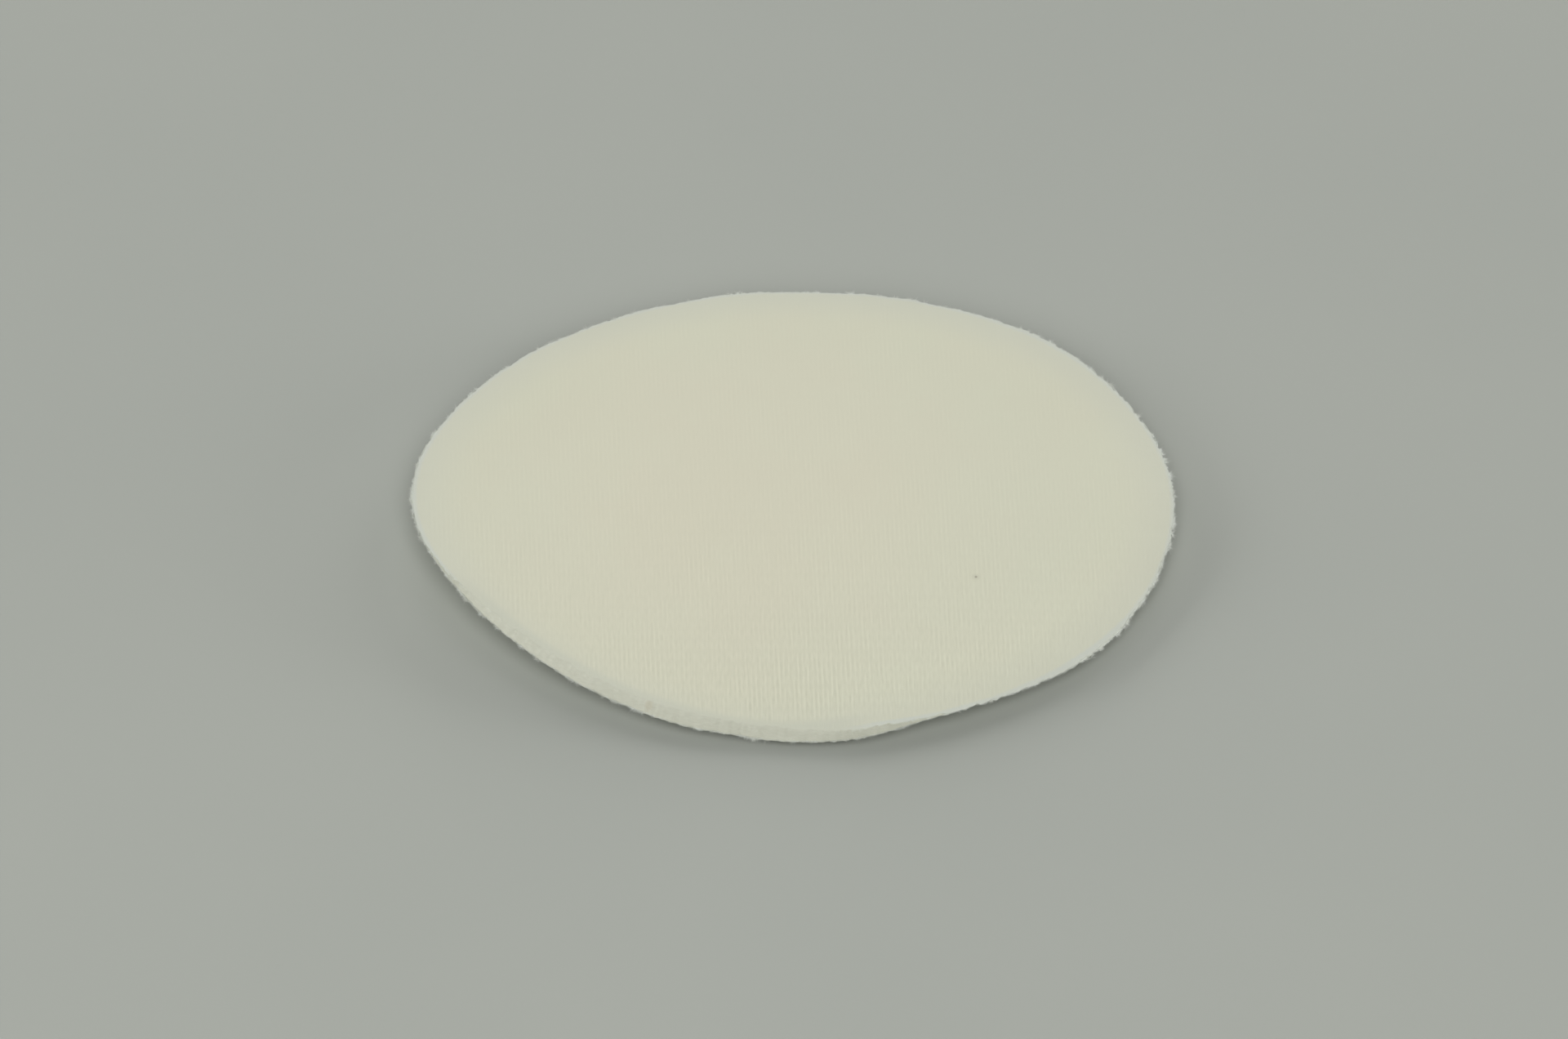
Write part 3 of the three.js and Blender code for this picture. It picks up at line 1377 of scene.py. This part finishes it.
@dataclass(frozen=True)
class SoftPanel:
    """One large soft light that faces the pad, with its direction in degrees."""

    name: str
    azimuth: float
    elevation: float
    power: float
    size: float = 0.9
    distance: float = 1.4

    def build(self) -> None:
        """Makes the light, out of the camera's sight."""
        azimuth = math.radians(self.azimuth)
        elevation = math.radians(self.elevation)
        level = math.cos(elevation)
        way = Vector((level * math.cos(azimuth), level * math.sin(azimuth), math.sin(elevation)))
        lamp = bpy.data.lights.new(self.name, "AREA")
        lamp.shape = "DISK"
        lamp.size = self.size
        lamp.energy = self.power
        panel = bpy.data.objects.new(self.name, lamp)
        panel.location = self.distance * way
        panel.rotation_euler = (-way).to_track_quat("-Z", "Y").to_euler()
        panel.visible_camera = False
        bpy.context.scene.collection.objects.link(panel)


@dataclass(frozen=True)
class Studio:
    """The camera, the table and the light round the pad, with the camera's elevation in degrees."""

    panels: tuple[SoftPanel, ...]
    elevation: float = 45
    distance: float = 1.5
    image_width: int = 1920
    pixels_per_metre: float = 13290  # of the image, at the pad
    aim: tuple[float, float, float] = in_mm(-0.888, 0.287, 1.187)
    sensor: float = 36.0
    table_size: float = 12.0
    table_drop: float = 0.01 * MM
    nearest: float = 0.1
    farthest: float = 20.0
    fill: float = 0.017

    def place_camera(self) -> None:
        """Sets the camera at the photograph's viewing angle."""
        lens = bpy.data.cameras.new("camera")
        lens.sensor_width = self.sensor
        lens.lens = self.pixels_per_metre * self.distance / self.image_width * self.sensor
        lens.clip_start = self.nearest
        lens.clip_end = self.farthest
        camera = bpy.data.objects.new("camera", lens)
        elevation = math.radians(self.elevation)
        back = Vector((0, -math.cos(elevation), math.sin(elevation)))
        camera.location = Vector(self.aim) + self.distance * back
        camera.rotation_euler = (-back).to_track_quat("-Z", "Y").to_euler()
        bpy.context.scene.collection.objects.link(camera)
        bpy.context.scene.camera = camera

    def lay_table(self, finish: FloorFinish) -> None:
        """Lays the table top under the pad.

        Args:
            finish: the table's finish.
        """
        half = self.table_size / 2
        square = ((-half, -half), (half, -half), (half, half), (-half, half))
        corners = [(x, y, -self.table_drop) for x, y in square]
        mesh = bpy.data.meshes.new("table_top")
        mesh.from_pydata(corners, [], [(0, 1, 2, 3)])
        mesh.materials.append(finish.material())
        table = bpy.data.objects.new("table_top", mesh)
        bpy.context.scene.collection.objects.link(table)

    def light(self) -> None:
        """Sets the soft panels and the even light from all round."""
        world = bpy.data.worlds.new("soft_room")
        world.use_nodes = True
        sky = world.node_tree.nodes["Background"]
        sky.inputs["Color"].default_value = (1, 1, 1, 1)
        sky.inputs["Strength"].default_value = self.fill
        bpy.context.scene.world = world
        for panel in self.panels:
            panel.build()
        bpy.context.scene.view_settings.view_transform = "Standard"


STUDIO = Studio(
    panels=(
        SoftPanel("front_panel", 270, 40, 7.4),
        SoftPanel("high_front_panel", 270, 55, 7.7),
        SoftPanel("back_panel", 90, 55, 2.6),
        SoftPanel("low_back_panel", 90, 12, 2.95, size=0.5),
        SoftPanel("back_left_panel", 135, 25, 4.4),
        SoftPanel("back_right_panel", 45, 25, 4.3),
        SoftPanel("left_panel", 180, 22, 6.0, size=0.8),
        SoftPanel("right_panel", 0, 10, 5.5, size=0.5),
    ),
)

FRONT_EDGE = CutEdge(
    stand_back=RoundCurve.of_mm(
        0.07, 0.07, 0.06, 0.05, 0.05, 0.05, 0.05, 0.06, 0.06, 0.2, 0.85, 0.95, 0.75, 0.08, 0.07, 0.07
    ),
    ragged=RoundCurve.of_mm(
        0.18, 0.16, 0.14, 0.1, 0.1, 0.1, 0.1, 0.1, 0.12, 0.12, 0.16, 0.14, 0.14, 0.18, 0.18, 0.18
    ),
    seed=11,
)
BACK_EDGE = CutEdge(
    stand_back=RoundCurve.of_mm(
        0.0, 0.0, 0.0, 0.0, 0.0, 0.0, 0.0, 0.0, 0.0, 0.1, 0.2, 0.2, 0.22, 0.14, 0.03, 0.0
    ),
    ragged=RoundCurve.of_mm(
        0.18, 0.16, 0.14, 0.1, 0.1, 0.1, 0.1, 0.1, 0.12, 0.14, 0.14, 0.14, 0.16, 0.18, 0.18, 0.18
    ),
    seed=13,
)
WADDING_EDGE = CutEdge(
    stand_back=RoundCurve.of_mm(
        0.3, 0.3, 0.3, 0.3, 0.3, 0.3, 0.3, 0.3, 0.3, 0.12, 0.04, 0.04, 0.04, 0.12, 0.3, 0.3
    ),
    ragged=RoundCurve.of_mm(
        0.04, 0.04, 0.04, 0.04, 0.04, 0.04, 0.04, 0.04, 0.04, 0.06, 0.08, 0.08, 0.08, 0.06, 0.04, 0.04
    ),
    seed=17,
)

FRONT_FRINGE = LooseEnds(
    "front_fringe",
    "knitted_cotton",
    count=15000,
    seed=22,
    tufts=Tufts(
        52, RoundCurve((1.5, 1.3, 1.1, 0.9, 0.9, 0.9, 0.9, 1.0, 1.1, 0.9, 0.3, 0.3, 0.3, 1.0, 1.2, 1.5))
    ),
)
BACK_FRINGE = LooseEnds(
    "back_fringe",
    "knitted_cotton",
    count=15000,
    seed=20,
    tufts=Tufts(
        50, RoundCurve((1.5, 1.3, 1.1, 0.9, 0.9, 0.9, 0.9, 1.0, 1.1, 1.2, 1.2, 1.2, 1.2, 1.2, 1.3, 1.5))
    ),
)
WADDING_WISPS = LooseEnds(
    "wadding_wisps",
    "cotton_wadding",
    count=300,
    seed=25,
    tufts=Tufts(54, RoundCurve((1.0,)), least=1.0, gain=0.0),
    length=in_mm(0.12, 0.45),
    radius=in_mm(0.004, 0.008),
    spread=1.4,
    lift=0.0,
    droop=0.2,
    ring_shares=(0.0, 0.4, 0.75),
    ring_widths=(1.0, 0.9, 0.6),
)
WADDING_FRINGE = LooseEnds(
    "wadding_fringe",
    "cotton_wadding",
    count=6000,
    seed=27,
    tufts=Tufts(55, RoundCurve((1.1,))),
    lift=-0.1,
    droop=0.1,
)

BACK_ROW_GAP = 0.8 * MM  # wider than the front's, because the underside hardly shows


@dataclass
class EyePad:
    """The whole pad: the filling, its two covers and the loose ends along every cut."""

    front: KnitCover
    back: KnitCover
    wadding: Wadding
    seed: int = 5
    bare_arc: tuple[float, float] = (math.radians(205), math.radians(288))
    wisp_shares: tuple[float, float] = (0.1, 1.0)
    fringe_shares: tuple[float, float] = (0.93, 1.0)

    @classmethod
    def from_frame(cls) -> "EyePad":
        """The pad whose plan size is that of its solids.

        Returns:
            The pad.
        """
        form = PadForm.from_frame("front_cover")
        stitch = KnitStitch()
        front = KnitCover(form, Side.FRONT, FRONT_EDGE, stitch, FRONT_FRINGE)
        back = KnitCover(form, Side.BACK, BACK_EDGE, stitch, BACK_FRINGE, row_gap=BACK_ROW_GAP)
        return cls(front, back, Wadding(WADDING_EDGE, front, back))

    def build(self) -> list[bpy.types.Object]:
        """Makes and dresses every piece of the pad.

        Returns:
            The pieces.
        """
        knit = KnitFinish(self.front.stitch, self.front.form).material()
        fibre = FibreFinish().material()
        rng = np.random.default_rng(self.seed)
        body = self.wadding.build()
        self.wadding.dress(body, WaddingFinish().material())
        pieces = [body]
        for cover in (self.front, self.back):
            angle = rng.uniform(0, TAU, cover.ends.count)
            fringe = cover.ends.build(angle, *cover.rim(angle))
            cover.ends.dress(fringe, fibre)
            sheet = cover.build()
            cover.dress(sheet, knit, fringe)
            pieces += [sheet, fringe]
        for ends, shares in ((WADDING_WISPS, self.wisp_shares), (WADDING_FRINGE, self.fringe_shares)):
            angle = rng.uniform(*self.bare_arc, ends.count)
            roots = self.wadding.bare_ring(angle, rng.uniform(*shares, ends.count))
            fluff = ends.build(angle, roots, self.wadding.form.outward(angle))
            ends.dress(fluff, fibre)
            pieces.append(fluff)
        return pieces


def main() -> None:
    """Builds the scene and logs each piece of the pad."""
    logging.basicConfig(level=logging.INFO, format="%(name)s: %(message)s")
    STUDIO.place_camera()
    for piece in EyePad.from_frame().build():
        LOG.info("%s: %d faces", piece.name, len(piece.data.polygons))
    STUDIO.lay_table(FloorFinish())
    STUDIO.light()


if __name__ == "__main__":
    main()
